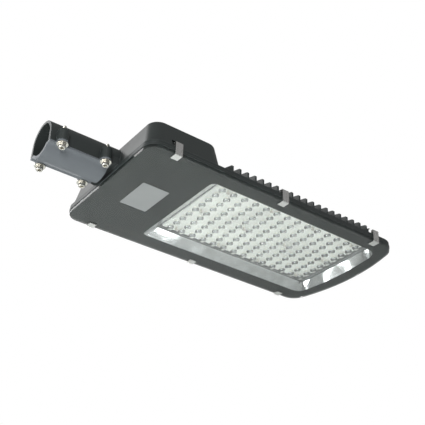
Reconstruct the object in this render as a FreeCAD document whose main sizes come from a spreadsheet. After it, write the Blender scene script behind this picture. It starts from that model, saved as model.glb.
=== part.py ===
import FreeCAD, Part
import math
import os
import re
import Sketcher
from FreeCAD import Placement, Rotation, Vector

# LED street-light head that clamps onto a horizontal pipe. Millimetres.
# Origin: axis of the pipe bore at the mouth of the arm. +X from the pipe to the front, +Z up.

SIZES = [
    # pipe clamp
    ("bore_radius", 24.25, "radius of the pipe bore, for a 48.3 mm pipe"),
    ("arm_wall", 4, "wall of the arch over the pipe"),
    ("arm_spread", 1.35, "how much wider the arch wall is at its open edge"),
    ("arm_drop", 14.9, "bore axis down to the open edge of the arch"),
    ("pipe_depth", 94.5, "mouth of the arm to the shoulder that stops the pipe"),
    ("clamp_gap", 0.6, "gap between arch and saddle when clamped"),
    ("ear_thick", 3, "thickness of the saddle's ears"),
    ("saddle_wall", 4.45, "wall of the saddle under the pipe"),
    ("saddle_length", 93.5, "length of the saddle"),
    ("saddle_root", 6, "rounding between the saddle's belly and its ears"),
    ("bolt_first", 16.7, "mouth to the first pair of clamp screws"),
    ("bolt_pitch_long", 66.8, "first pair to second pair of clamp screws"),
    ("bolt_offset", 5.35, "outside of the arch to each clamp screw's axis"),
    ("boss_radius", 7.5, "round end of each screw boss and saddle lobe"),
    ("boss_height", 17, "height of the screw bosses on the arch"),
    ("screw_radius", 3, "clamp screw shank, M6"),
    ("screw_head_radius", 5, "clamp screw head"),
    ("screw_head_height", 6, "clamp screw head"),
    ("screw_length", 30, "clamp screw under its head"),
    ("screw_bevel", 0.625, "bevel on the clamp screw's head and tip"),
    ("socket_width", 5, "hexagon socket across flats"),
    ("socket_depth", 3.2, "hexagon socket depth"),
    ("washer_radius", 8, "clamp washer"),
    ("washer_thick", 1.4, "clamp washer"),
    ("hole_clearance", 0.3, "radial clearance of screws in plain holes"),
    ("thread_spare", 0.5, "blind threaded hole beyond the screw's tip"),
    ("thread_clearance", 0.05, "radial clearance of screws in threaded holes"),
    # glass cover, its print, label and seal
    ("back_edge", 102.5, "mouth of the arm to the glass"),
    ("glass_drop", 28, "bore axis down to the underside of the glass"),
    ("glass_length", 476.3, "glass, back edge to the middle of its curved front"),
    ("glass_width", 240, "glass"),
    ("glass_thick", 4, "glass"),
    ("glass_back_corner", 20, "corner radius"),
    ("glass_front_corner", 26, "corner radius"),
    ("front_curve", 360, "radius of the bowed front edge"),
    ("print_thick", 0.2, "enamel printed on the inside of the glass"),
    ("window_back", 120.7, "back edge of the glass to the clear window"),
    ("window_front", 21.3, "clear window to the front edge of the glass"),
    ("window_half", 93.5, "half width of the clear window"),
    ("window_curve", 435, "radius of the window's bowed front edge"),
    ("window_back_corner", 9, "corner radius"),
    ("window_front_corner", 20, "corner radius"),
    ("label_back", 42.8, "back edge of the glass to the rating label"),
    ("label_length", 44.3, "rating label along X"),
    ("label_right", 34.6, "centre line to the label's right edge"),
    ("label_width", 65.5, "rating label along Y"),
    ("label_thick", 0.2, "rating label"),
    ("seal_thick", 0.6, "silicone seal between the print and the rim"),
    ("seal_inset", 2.5, "edge of the glass to the seal"),
    ("seal_width", 7, "silicone seal"),
    # housing
    ("rim_overhang", 0.8, "rim beyond the glass"),
    ("rim_height", 8, "height of the rim"),
    ("bead_height", 3.4, "height of the bead along the rim's lower edge"),
    ("bead_step", 0.6, "how far the bead stands out of the rim"),
    ("box_back", 2.5, "back edge of the glass to the foot of the driver box"),
    ("box_length", 122, "driver box at its foot"),
    ("box_half", 117, "half width of the driver box at its foot"),
    ("box_top_back", 11, "back edge of the glass to the roof of the driver box"),
    ("box_top_length", 111, "driver box at its roof"),
    ("box_top_half", 105, "half width of the driver box at its roof"),
    ("box_height", 43.9, "rim to the roof of the driver box"),
    ("box_corner", 19, "plan corners of the driver box"),
    ("box_top_edge", 4, "rounding of the roof's edge"),
    ("box_wall", 4, "wall and roof of the driver box at its top"),
    ("cavity_half", 106, "half width of the driver cavity at the rim"),
    ("foot_wall", 6, "back wall of the driver box at its foot"),
    ("web_thick", 8, "wall between the driver cavity and the LED recess"),
    ("plateau_wall", 3.5, "sloping walls of the heat sink plate round the LED recess"),
    ("plateau_edge", 3, "rounding of the heat sink plate's edge"),
    ("plate_thick", 4, "heat sink plate over the LED board"),
    ("recess_back", 115.5, "back edge of the glass to the LED recess"),
    ("recess_play", 0.8, "reflector's foot to the wall of the LED recess"),
    ("engine_play", 1.2, "lens plate to the LED recess at its roof"),
    ("fin_count", 21, "cooling fins"),
    ("fin_first", 136.8, "back edge of the glass to the first fin"),
    ("fin_pitch", 13.85, "fin to fin"),
    ("fin_thick", 2.8, "cooling fin"),
    ("fin_half", 118.5, "half length of a fin"),
    ("fin_end_height", 11.8, "rim to a fin's crest at its ends"),
    ("fin_crest_height", 28.2, "rim to a fin's crest in the middle"),
    ("fin_corner", 2.4, "rounded end of a fin"),
    ("flare_half", 37, "half width of the arm where it meets the box"),
    ("flare_length", 8, "start of the widening before the pipe's shoulder"),
    ("flare_sink", 1, "rim's top down to the open edge of the widened arm"),
    ("gland_hole_radius", 8, "hole for the cable gland"),
    ("gland_recess_radius", 14, "recess for the gland's head"),
    ("gland_recess_depth", 7.5, "recess for the gland's head"),
    ("gland_head_play", 2, "gland's head to the wall of its recess"),
    ("gland_head_height", 6, "gland's head"),
    ("gland_head_bevel", 2, "bevel on the gland's head, along its axis"),
    ("gland_nose", 1, "hole's edge out to the flat front of the gland's head"),
    ("gland_tail", 6, "gland inside the driver box"),
    # spring clips
    ("clip_width", 11.7, "strip width"),
    ("clip_thick", 1.2, "strip thickness"),
    ("clip_foot", 10.4, "how far a clip reaches under the glass"),
    ("clip_clearance", 0.3, "clip to glass and rim"),
    ("clip_hook_gap", 2.2, "leg to lip of the hook"),
    ("clip_rise", 7.2, "rim to the top of the clip"),
    ("clip_first", 43.5, "back edge of the glass to the first clips"),
    ("clip_middle", 231.1, "back edge of the glass to the middle clips"),
    ("clip_last", 416.4, "back edge of the glass to the last clips"),
    ("notch_margin", 1.8, "clip to the sides of its notch"),
    ("notch_half", 109, "centre line to the floor of a clip notch"),
    ("notch_height", 13.5, "rim to the top of a clip notch"),
    # LED engine
    ("lens_columns", 14, "lenses along X"),
    ("lens_rows", 9, "lenses along Y"),
    ("lens_first", 156.5, "back edge of the glass to the first column"),
    ("lens_pitch_long", 20.79, "column to column"),
    ("lens_pitch_wide", 16.87, "row to row"),
    ("lens_margin_long", 19, "outer lenses to the plate's ends"),
    ("lens_margin_wide", 14.5, "outer lenses to the plate's sides"),
    ("lens_radius", 6.2, "lens dome"),
    ("lens_height", 4.2, "lens dome"),
    ("lens_plate_drop", 18.3, "underside of the glass to the lens plate"),
    ("lens_plate_thick", 2, "lens plate"),
    ("lens_plate_corner", 3, "plan corners of lens plate, board, pad and reflector"),
    ("lens_gap", 3.2, "lens plate to the LED board"),
    ("lens_boss_radius", 3.2, "spacers on the lens plate, round its screws"),
    ("chip_size", 3.5, "LED chip, square"),
    ("chip_thick", 0.8, "LED chip"),
    ("board_thick", 1.6, "LED board"),
    ("board_margin_long", 10.3, "outer lenses to the board's ends"),
    ("board_margin_wide", 10.8, "outer lenses to the board's sides"),
    ("pad_thick", 0.4, "thermal pad"),
    ("tray_wall", 0.8, "reflector sheet"),
    ("tray_gap", 0.35, "reflector to lens plate and to the print"),
    ("tray_margin_long", 18, "outer lenses to the reflector's upper ends"),
    ("tray_margin_wide", 13.5, "outer lenses to the reflector's upper sides"),
    ("tray_top_curve", 5000, "radius of the reflector's slightly bowed upper front edge"),
    ("lens_screw_radius", 1.5, "M3 screws of the LED engine"),
    ("lens_screw_head", 2.8, "head radius"),
    ("lens_screw_head_height", 1.8, "head height"),
    ("lens_screw_bite", 3, "length in the heat sink plate"),
    # driver compartment
    ("driver_back", 34, "back edge of the glass to the driver"),
    ("driver_length", 60, "driver along X"),
    ("driver_width", 140, "driver case along Y"),
    ("driver_side", 14, "driver's middle to the right of the centre line"),
    ("driver_height", 34, "driver"),
    ("driver_corner", 3, "driver case corners"),
    ("tab_length", 9, "driver's fixing tabs"),
    ("tab_thick", 2, "driver's fixing tabs"),
    ("tab_width", 30, "driver's fixing tabs"),
    ("driver_screw_radius", 2, "M4 screws of the driver"),
    ("driver_screw_head", 3.8, "head radius"),
    ("driver_screw_head_height", 2.6, "head height"),
    ("driver_screw_bite", 3, "length in the roof"),
    ("terminal_length", 17, "terminal block along X"),
    ("terminal_width", 24, "terminal block along Y"),
    ("terminal_height", 18, "terminal block"),
    ("terminal_ways", 3, "wires in the terminal block"),
    ("terminal_gap", 3, "driver's tab to the terminal block"),
    ("terminal_well_radius", 2, "screw wells of the terminal block"),
    ("terminal_well_depth", 6, "screw wells of the terminal block"),
    ("terminal_row", 4, "middle of the block to its screws and, the other way, its wire entries"),
    ("gland_bore", 3.6, "cable hole of the gland"),
    ("lead_radius", 1.2, "leads inside the housing"),
    ("lead_exit", 3, "underside of the driver to its leads"),
    ("label_corner", 1.5, "plan corners of the rating label"),
    ("terminal_corner", 1, "plan corners of the terminal block"),
]

doc = FreeCAD.newDocument("street_lamp")
sizes = doc.addObject("Spreadsheet::Sheet", "sizes")
for row, (alias, number, note) in enumerate(SIZES, 1):
    sizes.set(f"A{row}", note)
    sizes.set(f"B{row}", str(number))
    sizes.setAlias(f"B{row}", alias)
doc.recompute()
ALIASES = {alias for alias, _, _ in SIZES}


def bound(text):
    """The expression with each alias read from the sheet."""
    return re.sub(r"[a-z_]+", lambda word: f"sizes.{word[0]}" if word[0] in ALIASES else word[0], text)


def value(text):
    """What the expression comes to now."""
    return float(sizes.evalExpression(bound(text)))


def bind(item, field, text):
    item.setExpression(field, bound(text))


# Levels and places that several pieces share, as expressions of the sheet's values.
GLASS_UNDER = "(0 - glass_drop)"
GLASS_TOP = "(glass_thick - glass_drop)"
PRINT_TOP = "(glass_thick + print_thick - glass_drop)"
RIM_LOW = "(glass_thick + print_thick + seal_thick - glass_drop)"
RIM_TOP = f"({RIM_LOW} + rim_height)"
BOX_TOP = f"({RIM_TOP} + box_height)"
GLASS_FRONT = "(back_edge + glass_length)"
EAR_TOP = "(0 - arm_drop - clamp_gap)"
EAR_LOW = f"({EAR_TOP} - ear_thick)"
LENS_LOW = "(lens_plate_drop - glass_drop)"
LENS_TOP = f"({LENS_LOW} + lens_plate_thick)"
BOARD_LOW = f"({LENS_TOP} + lens_gap)"
BOARD_TOP = f"({BOARD_LOW} + board_thick)"
RECESS_TOP = f"({BOARD_TOP} + pad_thick)"
PLATEAU_TOP = f"({RECESS_TOP} + plate_thick)"
LENS_START = "(back_edge + lens_first)"
LENS_END = f"({LENS_START} + lens_pitch_long * (lens_columns - 1))"
LENS_SIDE = "(lens_pitch_wide * (lens_rows - 1) / 2)"
CAVITY_TOP = f"({BOX_TOP} - box_wall)"
FOOT_PLAY = "(2 * tray_wall + recess_play)"
CLIP_PLACES = {"back": "clip_first", "middle": "clip_middle", "front": "clip_last"}
ARCH_OUTER = "(bore_radius + arm_wall)"
BOLTS = [(f"bolt_first + bolt_pitch_long * {pair}", f"{side} * ({ARCH_OUTER} + bolt_offset)")
         for pair in (0, 1) for side in (-1, 1)]
# The LED engine's screws stand between lens columns, on the outer and the middle rows.
LENS_SCREWS = [(f"{LENS_START} + lens_pitch_long * {column}", f"{LENS_SIDE} * {side}")
               for column in (0.5, 4.5, 8.5, 12.5) for side in (-1, 0, 1)]


def new_body(name):
    body = doc.addObject("PartDesign::Body", name)
    body.Label = name
    return body


def origin_item(body, role):
    return next(item for item in body.Origin.OriginFeatures if item.Role == role)


def new_sketch(body, name, level, plane="XY_Plane", turn=0):
    """A sketch on one of the body's own planes, raised to level and turned about its normal."""
    sketch = body.newObject("Sketcher::SketchObject", f"{body.Name}_{name}")
    sketch.AttachmentSupport = [(origin_item(body, plane), "")]
    sketch.MapMode = "FlatFace"
    sketch.AttachmentOffset = Placement(Vector(0, 0, value(level)), Rotation(Vector(0, 0, 1), turn))
    bind(sketch, "AttachmentOffset.Base.z", level)
    return sketch


def dimension(sketch, kind, geometry, point, text):
    """A driving dimension from the sketch's origin to a point, bound to the sheet."""
    number = sketch.addConstraint(Sketcher.Constraint(kind, -1, 1, geometry, point, value(text)))
    bind(sketch, f"Constraints[{number}]", text)


def radius(sketch, geometry, text):
    number = sketch.addConstraint(Sketcher.Constraint("Radius", geometry, value(text)))
    bind(sketch, f"Constraints[{number}]", text)


def polygon(sketch, points):
    """A closed loop of straight lines through points given as pairs of expressions."""
    spots = [Vector(value(x), value(y), 0) for x, y in points]
    first = sketch.GeometryCount
    count = len(points)
    for index in range(count):
        sketch.addGeometry(Part.LineSegment(spots[index], spots[(index + 1) % count]), False)
    for index in range(count):
        following = first + (index + 1) % count
        sketch.addConstraint(Sketcher.Constraint("Coincident", first + index, 2, following, 1))
    for index, (x, y) in enumerate(points):
        dimension(sketch, "DistanceX", first + index, 1, x)
        dimension(sketch, "DistanceY", first + index, 1, y)


def circles(sketch, centres, size):
    for x, y in centres:
        ring = Part.Circle(Vector(value(x), value(y), 0), Vector(0, 0, 1), value(size))
        geometry = sketch.addGeometry(ring, False)
        dimension(sketch, "DistanceX", geometry, 3, x)
        dimension(sketch, "DistanceY", geometry, 3, y)
        radius(sketch, geometry, size)


def arc(centre, size, start, end):
    """Counter-clockwise arc between two angles in radians."""
    return Part.ArcOfCircle(Part.Circle(centre, Vector(0, 0, 1), size), start, end)


def smooth_loop(sketch, pieces):
    """Adds lines and arcs that meet end to end and tangent, each given with its end and next start."""
    first = sketch.GeometryCount
    for piece, _, _ in pieces:
        sketch.addGeometry(piece, False)
    for index, (_, leave, enter) in enumerate(pieces):
        following = first + (index + 1) % len(pieces)
        sketch.addConstraint(Sketcher.Constraint("Tangent", first + index, leave, following, enter))
    return first


def rounded_rectangle(sketch, low_x, high_x, low_y, high_y, corner):
    x0, x1, y0, y1, r = (value(text) for text in (low_x, high_x, low_y, high_y, corner))
    quarter = math.pi / 2
    first = smooth_loop(sketch, [
        (Part.LineSegment(Vector(x0 + r, y0, 0), Vector(x1 - r, y0, 0)), 2, 1),
        (arc(Vector(x1 - r, y0 + r, 0), r, -quarter, 0), 2, 1),
        (Part.LineSegment(Vector(x1, y0 + r, 0), Vector(x1, y1 - r, 0)), 2, 1),
        (arc(Vector(x1 - r, y1 - r, 0), r, 0, quarter), 2, 1),
        (Part.LineSegment(Vector(x1 - r, y1, 0), Vector(x0 + r, y1, 0)), 2, 1),
        (arc(Vector(x0 + r, y1 - r, 0), r, quarter, 2 * quarter), 2, 1),
        (Part.LineSegment(Vector(x0, y1 - r, 0), Vector(x0, y0 + r, 0)), 2, 1),
        (arc(Vector(x0 + r, y0 + r, 0), r, 2 * quarter, 3 * quarter), 2, 1),
    ])
    for side in (0, 4):
        sketch.addConstraint(Sketcher.Constraint("Horizontal", first + side))
    for side in (2, 6):
        sketch.addConstraint(Sketcher.Constraint("Vertical", first + side))
    dimension(sketch, "DistanceY", first, 1, low_y)
    dimension(sketch, "DistanceX", first + 2, 1, high_x)
    dimension(sketch, "DistanceY", first + 4, 1, high_y)
    dimension(sketch, "DistanceX", first + 6, 1, low_x)
    for turn in (1, 3, 5, 7):
        radius(sketch, first + turn, corner)


def bowed_outline(sketch, back, front, half, curve, back_corner, front_corner):
    """Straight back and sides, round corners and a front edge bowed outward."""
    x0, x1, side, big, r0, r1 = (value(t) for t in (back, front, half, curve, back_corner, front_corner))
    centre = x1 - big
    across = side - r1
    along = centre + math.sqrt((big - r1) ** 2 - across ** 2)
    swing = math.atan2(across, along - centre)
    quarter = math.pi / 2
    first = smooth_loop(sketch, [
        (Part.LineSegment(Vector(x0 + r0, -side, 0), Vector(along, -side, 0)), 2, 1),
        (arc(Vector(along, -across, 0), r1, -quarter, -swing), 2, 1),
        (arc(Vector(centre, 0, 0), big, -swing, swing), 2, 1),
        (arc(Vector(along, across, 0), r1, swing, quarter), 2, 1),
        (Part.LineSegment(Vector(along, side, 0), Vector(x0 + r0, side, 0)), 2, 1),
        (arc(Vector(x0 + r0, side - r0, 0), r0, quarter, 2 * quarter), 2, 1),
        (Part.LineSegment(Vector(x0, side - r0, 0), Vector(x0, r0 - side, 0)), 2, 1),
        (arc(Vector(x0 + r0, r0 - side, 0), r0, 2 * quarter, 3 * quarter), 2, 1),
    ])
    for side_line in (0, 4):
        sketch.addConstraint(Sketcher.Constraint("Horizontal", first + side_line))
    sketch.addConstraint(Sketcher.Constraint("Vertical", first + 6))
    sketch.addConstraint(Sketcher.Constraint("PointOnObject", first + 2, 3, -1))
    dimension(sketch, "DistanceY", first, 1, f"0 - ({half})")
    dimension(sketch, "DistanceY", first + 4, 1, half)
    dimension(sketch, "DistanceX", first + 6, 1, back)
    dimension(sketch, "DistanceX", first + 2, 3, f"({front}) - ({curve})")
    radius(sketch, first + 2, curve)
    for turn, text in ((1, front_corner), (3, front_corner), (5, back_corner), (7, back_corner)):
        radius(sketch, first + turn, text)


def glass_outline(sketch, grow):
    """The outline of the glass, grown by an expression."""
    bowed_outline(sketch, f"back_edge - ({grow})", f"{GLASS_FRONT} + ({grow})",
                  f"glass_width / 2 + ({grow})", f"front_curve + ({grow})",
                  f"glass_back_corner + ({grow})", f"glass_front_corner + ({grow})")


def window_outline(sketch, grow):
    """The outline of the clear window, grown by an expression."""
    bowed_outline(sketch, f"back_edge + window_back - ({grow})", f"{GLASS_FRONT} - window_front + ({grow})",
                  f"window_half + ({grow})", f"window_curve + ({grow})",
                  f"window_back_corner + ({grow})", f"window_front_corner + ({grow})")


def lens_rectangle(sketch, long, wide):
    """A rectangle round the lens grid, with its margins past the outer lenses."""
    rounded_rectangle(sketch, f"{LENS_START} - {long}", f"{LENS_END} + {long}",
                      f"0 - {LENS_SIDE} - {wide}", f"{LENS_SIDE} + {wide}", "lens_plate_corner")


def recess_foot(sketch, grow):
    """The LED recess where it opens to the glass, grown by an expression."""
    bowed_outline(sketch, f"back_edge + recess_back - ({grow})",
                  f"{GLASS_FRONT} - window_front + {FOOT_PLAY} + ({grow})",
                  f"window_half + {FOOT_PLAY} + ({grow})", f"window_curve + ({grow})",
                  "window_back_corner / 2", "window_front_corner")


def recess_roof(sketch, grow):
    """The LED recess at its roof, grown by an expression."""
    bowed_outline(sketch, f"back_edge + recess_back - ({grow})",
                  f"{LENS_END} + lens_margin_long + engine_play + ({grow})",
                  f"{LENS_SIDE} + lens_margin_wide + engine_play + ({grow})", f"tray_top_curve + ({grow})",
                  "window_back_corner / 2", "window_back_corner")


def lug_loops(sketch, inner):
    """A D-shaped loop round each clamp screw, from the inner line out to the boss radius."""
    for x, y in BOLTS:
        side = 1 if value(y) > 0 else -1
        reach, across = value(x), value(y)
        r = value("boss_radius")
        near = side * value(inner)
        start, end = (0, math.pi) if side > 0 else (math.pi, 2 * math.pi)
        first = sketch.GeometryCount
        left, right = reach - side * r, reach + side * r
        sketch.addGeometry(arc(Vector(reach, across, 0), r, start, end), False)
        sketch.addGeometry(Part.LineSegment(Vector(left, across, 0), Vector(left, near, 0)), False)
        sketch.addGeometry(Part.LineSegment(Vector(left, near, 0), Vector(right, near, 0)), False)
        sketch.addGeometry(Part.LineSegment(Vector(right, near, 0), Vector(right, across, 0)), False)
        for leave, enter in ((0, 1), (3, 0)):
            sketch.addConstraint(Sketcher.Constraint("Tangent", first + leave, 2, first + enter, 1))
        for leave, enter in ((1, 2), (2, 3)):
            sketch.addConstraint(Sketcher.Constraint("Coincident", first + leave, 2, first + enter, 1))
        sketch.addConstraint(Sketcher.Constraint("Vertical", first + 1))
        sketch.addConstraint(Sketcher.Constraint("Horizontal", first + 2))
        sketch.addConstraint(Sketcher.Constraint("Vertical", first + 3))
        dimension(sketch, "DistanceX", first, 3, x)
        dimension(sketch, "DistanceY", first, 3, y)
        dimension(sketch, "DistanceY", first + 2, 1, f"{side} * ({inner})")
        radius(sketch, first, "boss_radius")


def pad(body, sketch, length, name):
    feature = body.newObject("PartDesign::Pad", f"{body.Name}_{name}")
    feature.Profile = sketch
    bind(feature, "Length", length)
    sketch.Visibility = False
    doc.recompute()
    return feature


def pocket(body, sketch, length, name, upward=True):
    """Cuts the sketch's loops out of the body, along the sketch's normal or against it."""
    before = body.Shape.Volume
    feature = body.newObject("PartDesign::Pocket", f"{body.Name}_{name}")
    feature.Profile = sketch
    feature.Reversed = upward
    bind(feature, "Length", length)
    doc.recompute()
    if not body.Shape.Volume < before - 1e-6:
        raise RuntimeError(f"{name} cuts nothing")
    return feature


def loft(body, kind, lower, upper, name):
    feature = body.newObject(f"PartDesign::{kind}Loft", f"{body.Name}_{name}")
    feature.Profile = lower
    feature.Sections = [upper]
    feature.Ruled = True
    doc.recompute()
    return feature


def edges_where(feature, test):
    """Names of the feature's edges whose box and middle pass the test."""
    return [f"Edge{number}" for number, edge in enumerate(feature.Shape.Edges, 1)
            if test(edge.BoundBox, edge.CenterOfMass)]


def fillet(body, names, size, name):
    base = body.Tip
    feature = body.newObject("PartDesign::Fillet", f"{body.Name}_{name}")
    feature.Base = (base, names)
    bind(feature, "Radius", size)
    doc.recompute()
    return feature


def on_level(box, level):
    return abs(box.ZMin - level) < 0.01 and abs(box.ZMax - level) < 0.01


def along_x(box, y, z):
    """Whether an edge runs along X through the point y, z."""
    return (box.YLength < 0.01 and box.ZLength < 0.01 and box.XLength > 1
            and abs(box.YMin - y) < 0.01 and abs(box.ZMin - z) < 0.01)


def compound(name, shapes):
    """A node of several equal solids."""
    item = doc.addObject("Part::Feature", name)
    item.Label = name
    item.Shape = Part.makeCompound(shapes)
    return item


# Housing: one die casting, with the arm, driver box, rim, heat sink plate and fins.
housing = new_body("housing")
bead_plan = new_sketch(housing, "bead_plan", RIM_LOW)
glass_outline(bead_plan, "rim_overhang")
pad(housing, bead_plan, "bead_height", "bead")
fillet(housing, edges_where(housing.Tip, lambda box, mid: on_level(box, value(f"{RIM_LOW} + bead_height"))),
       "bead_step", "bead_round")
rim_plan = new_sketch(housing, "rim_plan", RIM_LOW)
glass_outline(rim_plan, "rim_overhang - bead_step")
pad(housing, rim_plan, "rim_height", "rim")
plateau_foot = new_sketch(housing, "plateau_foot", RIM_LOW)
recess_foot(plateau_foot, "plateau_wall")
plateau_top = new_sketch(housing, "plateau_top", PLATEAU_TOP)
recess_roof(plateau_top, "plateau_wall")
loft(housing, "Additive", plateau_foot, plateau_top, "plateau")
fillet(housing, edges_where(housing.Tip, lambda box, mid: on_level(box, value(PLATEAU_TOP))),
       "plateau_edge", "plateau_round")

box_foot = new_sketch(housing, "box_foot", RIM_TOP)
rounded_rectangle(box_foot, "back_edge + box_back", "back_edge + box_back + box_length",
                  "0 - box_half", "box_half", "box_corner")
box_roof = new_sketch(housing, "box_roof", BOX_TOP)
rounded_rectangle(box_roof, "back_edge + box_top_back", "back_edge + box_top_back + box_top_length",
                  "0 - box_top_half", "box_top_half", "box_corner")
loft(housing, "Additive", box_foot, box_roof, "box")
fillet(housing, edges_where(housing.Tip, lambda box, mid: on_level(box, value(BOX_TOP))),
       "box_top_edge", "box_round")


def arch(sketch, outer, foot, drop):
    """A closed arch: a half circle on walls that reach down to drop, foot wide each side."""
    big, wide, low = value(outer), value(foot), value(drop)
    first = sketch.GeometryCount
    sketch.addGeometry(arc(Vector(0, 0, 0), big, 0, math.pi), False)
    sketch.addGeometry(Part.LineSegment(Vector(-big, 0, 0), Vector(-wide, low, 0)), False)
    sketch.addGeometry(Part.LineSegment(Vector(-wide, low, 0), Vector(wide, low, 0)), False)
    sketch.addGeometry(Part.LineSegment(Vector(wide, low, 0), Vector(big, 0, 0)), False)
    for leave, enter in ((0, 1), (1, 2), (2, 3), (3, 0)):
        sketch.addConstraint(Sketcher.Constraint("Coincident", first + leave, 2, first + enter, 1))
    sketch.addConstraint(Sketcher.Constraint("Coincident", first, 3, -1, 1))
    sketch.addConstraint(Sketcher.Constraint("PointOnObject", first, 1, -1))
    sketch.addConstraint(Sketcher.Constraint("PointOnObject", first, 2, -1))
    radius(sketch, first, outer)
    for point, side in ((1, -1), (2, 1)):
        dimension(sketch, "DistanceX", first + 2, point, f"{side} * ({foot})")
        dimension(sketch, "DistanceY", first + 2, point, drop)


arm_section = new_sketch(housing, "arm_section", "0", "YZ_Plane")
arch(arm_section, ARCH_OUTER, f"{ARCH_OUTER} + arm_spread", "0 - arm_drop")
pad(housing, arm_section, "back_edge + box_top_back", "arm")
flare_start = new_sketch(housing, "flare_start", "pipe_depth - flare_length", "YZ_Plane")
arch(flare_start, ARCH_OUTER, f"{ARCH_OUTER} + arm_spread", "0 - arm_drop")
flare_end = new_sketch(housing, "flare_end", "back_edge + box_top_back", "YZ_Plane")
arch(flare_end, ARCH_OUTER, "flare_half", f"{RIM_TOP} - flare_sink")
loft(housing, "Additive", flare_start, flare_end, "flare")
boss_plan = new_sketch(housing, "boss_plan", "0 - arm_drop")
lug_loops(boss_plan, "bore_radius + arm_wall / 2")
pad(housing, boss_plan, "boss_height", "bosses")

fin_section = new_sketch(housing, "fin_section", "back_edge + fin_first - fin_thick / 2", "YZ_Plane", 90)
FIN_RISE = "(fin_crest_height - fin_end_height)"
bowed_outline(fin_section, f"{RIM_TOP} - rim_height / 2", f"{RIM_TOP} + fin_crest_height", "fin_half",
              f"(fin_half ^ 2 + {FIN_RISE} ^ 2) / (2 * {FIN_RISE})", "fin_corner / 2", "fin_corner")
fin = pad(housing, fin_section, "fin_thick", "fin")
fins = housing.newObject("PartDesign::LinearPattern", "housing_fins")
fins.Originals = [fin]
fins.Direction = (origin_item(housing, "X_Axis"), [""])
bind(fins, "Length", "fin_pitch * (fin_count - 1)")
bind(fins, "Occurrences", "fin_count")
housing.Tip = fins
doc.recompute()

HALF_NOTCH = "(clip_width / 2 + notch_margin)"
for place, back in CLIP_PLACES.items():
    notch_plan = new_sketch(housing, f"notch_{place}", RIM_TOP)
    for near, far in (("notch_half", "glass_width"), ("0 - glass_width", "0 - notch_half")):
        polygon(notch_plan, [(f"back_edge + {back} - {HALF_NOTCH}", near),
                             (f"back_edge + {back} + {HALF_NOTCH}", near),
                             (f"back_edge + {back} + {HALF_NOTCH}", far),
                             (f"back_edge + {back} - {HALF_NOTCH}", far)])
    pocket(housing, notch_plan, "notch_height", f"notches_{place}")

bore_section = new_sketch(housing, "bore_section", "0", "YZ_Plane")
arch(bore_section, "bore_radius", "bore_radius", "0 - arm_drop - saddle_wall")
pocket(housing, bore_section, "pipe_depth", "bore")
gland_recess = new_sketch(housing, "gland_recess", "pipe_depth", "YZ_Plane")
circles(gland_recess, [("0", "0")], "gland_recess_radius")
pocket(housing, gland_recess, "gland_recess_depth", "gland_seat")
gland_hole = new_sketch(housing, "gland_hole", "pipe_depth", "YZ_Plane")
circles(gland_hole, [("0", "0")], "gland_hole_radius + hole_clearance")
pocket(housing, gland_hole, "back_edge + box_top_back + box_wall - pipe_depth", "gland_hole_cut")

cavity_foot = new_sketch(housing, "cavity_foot", RIM_LOW)
rounded_rectangle(cavity_foot, "back_edge + box_back + foot_wall", "back_edge + recess_back - web_thick",
                  "0 - cavity_half", "cavity_half", "box_corner - box_wall")
cavity_roof = new_sketch(housing, "cavity_roof", CAVITY_TOP)
rounded_rectangle(cavity_roof, "back_edge + box_top_back + box_wall",
                  "back_edge + box_top_back + box_top_length - box_wall",
                  "box_wall - box_top_half", "box_top_half - box_wall", "box_corner - box_wall")
loft(housing, "Subtractive", cavity_foot, cavity_roof, "cavity")

recess_low = new_sketch(housing, "recess_low", RIM_LOW)
recess_foot(recess_low, "0")
recess_high = new_sketch(housing, "recess_high", RECESS_TOP)
recess_roof(recess_high, "0")
loft(housing, "Subtractive", recess_low, recess_high, "recess")
lead_hole = new_sketch(housing, "lead_hole", "back_edge + recess_back - 2 * web_thick", "YZ_Plane")
LEAD_HEIGHT = f"({RECESS_TOP} - lead_radius - hole_clearance)"
circles(lead_hole, [("0", LEAD_HEIGHT)], "lead_radius + hole_clearance")
pocket(housing, lead_hole, "3 * web_thick", "lead_hole_cut")

clamp_threads = new_sketch(housing, "clamp_threads", "0 - arm_drop")
circles(clamp_threads, BOLTS, "screw_radius + thread_clearance")
pocket(housing, clamp_threads, "boss_height", "clamp_thread_holes")
engine_threads = new_sketch(housing, "engine_threads", RECESS_TOP)
circles(engine_threads, LENS_SCREWS, "lens_screw_radius + thread_clearance")
pocket(housing, engine_threads, "lens_screw_bite + thread_spare", "engine_thread_holes")
DRIVER_MIDDLE = "(back_edge + driver_back + driver_length / 2)"
DRIVER_SCREWS = [(DRIVER_MIDDLE, f"{side} * (driver_width + tab_length) / 2 - driver_side")
                 for side in (-1, 1)]
driver_threads = new_sketch(housing, "driver_threads", CAVITY_TOP)
circles(driver_threads, DRIVER_SCREWS, "driver_screw_radius + thread_clearance")
pocket(housing, driver_threads, "driver_screw_bite + thread_spare", "driver_thread_holes")

# Glass cover, with the dark border printed on its inner face, the seal and the blank rating label.
cover_glass = new_body("cover_glass")
glass_plan = new_sketch(cover_glass, "plan", GLASS_UNDER)
glass_outline(glass_plan, "0")
pad(cover_glass, glass_plan, "glass_thick", "pane")
glass_print = new_body("glass_border_print")
print_plan = new_sketch(glass_print, "plan", GLASS_TOP)
glass_outline(print_plan, "0 - rim_overhang")
window_outline(print_plan, "0")
pad(glass_print, print_plan, "print_thick", "border")
cover_seal = new_body("cover_seal")
seal_plan = new_sketch(cover_seal, "plan", PRINT_TOP)
glass_outline(seal_plan, "0 - seal_inset")
glass_outline(seal_plan, "0 - seal_inset - seal_width")
pad(cover_seal, seal_plan, "seal_thick", "bead")
rating_label = new_body("rating_label")
label_plan = new_sketch(rating_label, "plan", f"{GLASS_UNDER} - label_thick")
rounded_rectangle(label_plan, "back_edge + label_back", "back_edge + label_back + label_length",
                  "0 - label_right", "label_width - label_right", "label_corner")
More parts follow.
